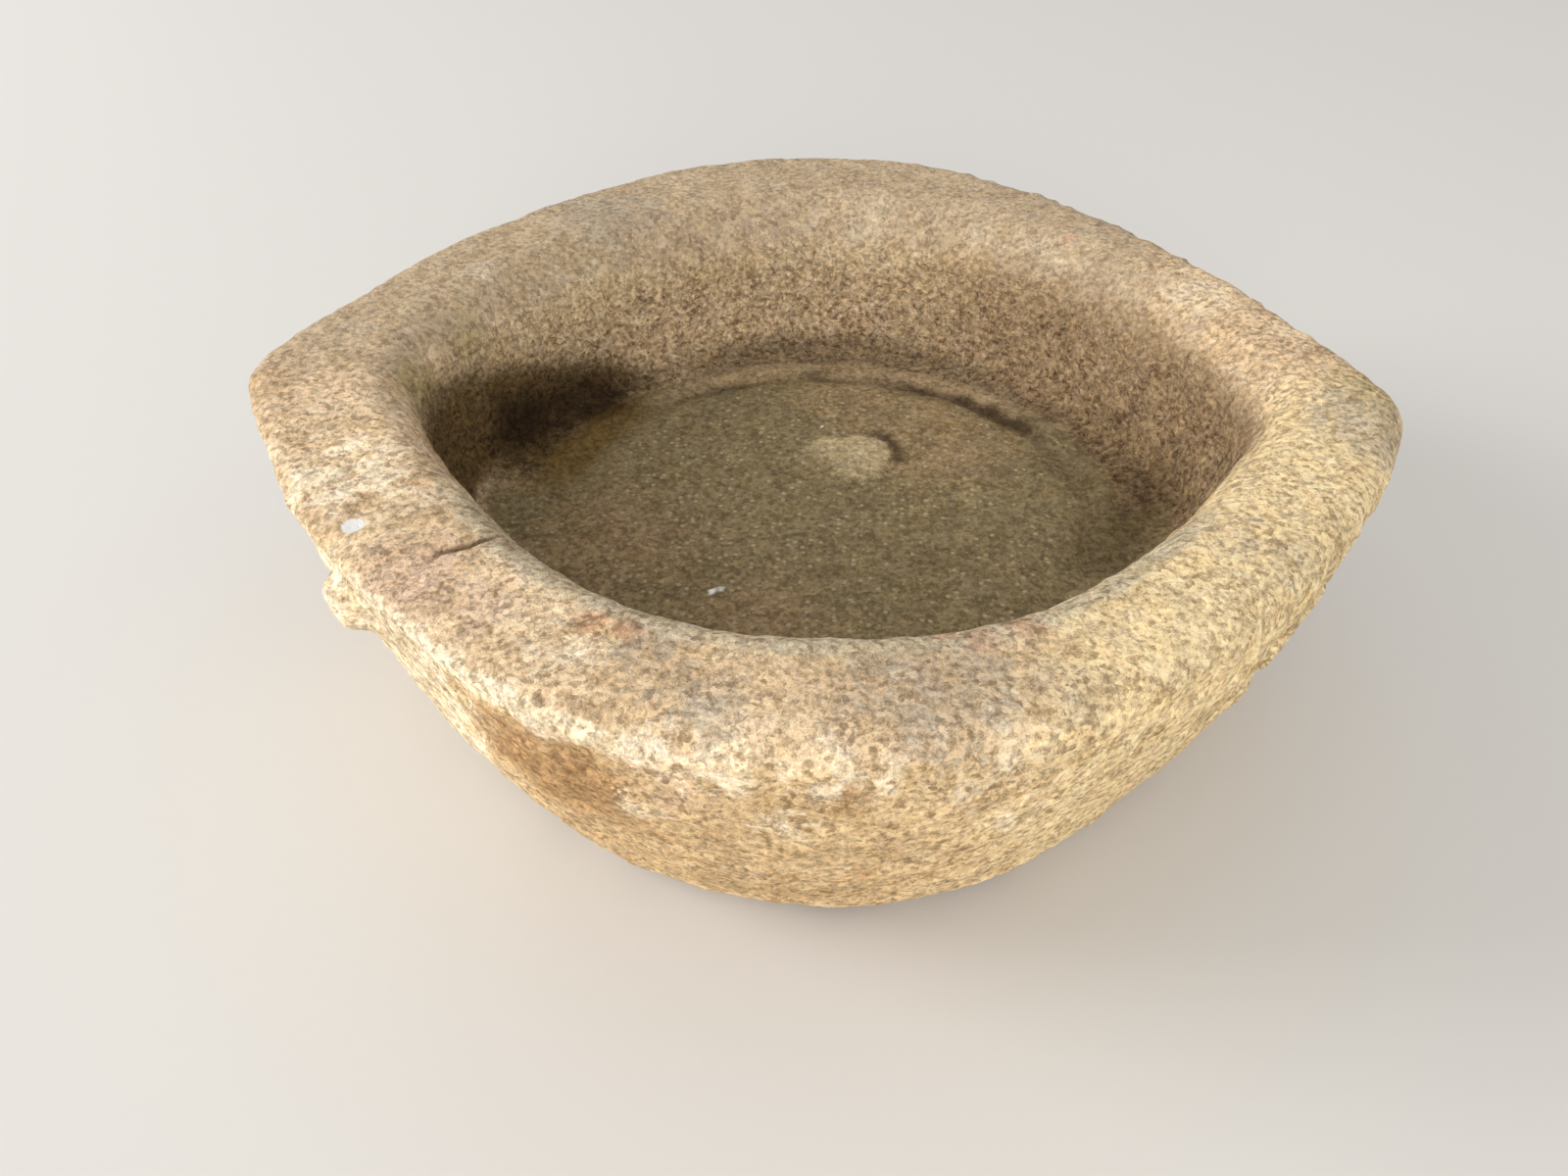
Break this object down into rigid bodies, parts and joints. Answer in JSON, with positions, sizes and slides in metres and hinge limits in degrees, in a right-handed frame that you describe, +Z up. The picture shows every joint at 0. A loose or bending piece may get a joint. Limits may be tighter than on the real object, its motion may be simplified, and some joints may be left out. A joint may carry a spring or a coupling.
{
  "type": "stone mortar",
  "caption": "Hand-hewn stone mortar: a rounded-square block with a broad soft-edged rim, flanks that taper to a flat foot and a steep worn bowl in its top.",
  "frame": {"origin": "on the flat foot, under the middle of the block's plan", "axes": "+Z up; the two long end corners lie on X; the blunt front corner points to -Y and the back corner to +Y"},
  "size_m": [0.3981, 0.3762, 0.118],
  "materials": {
    "weathered_stone": "rough weathered tan sandstone, hewn and pecked"
  },
  "bodies": {
    "root": {"mortar": "weathered_stone"}
  },
  "joints": []
}
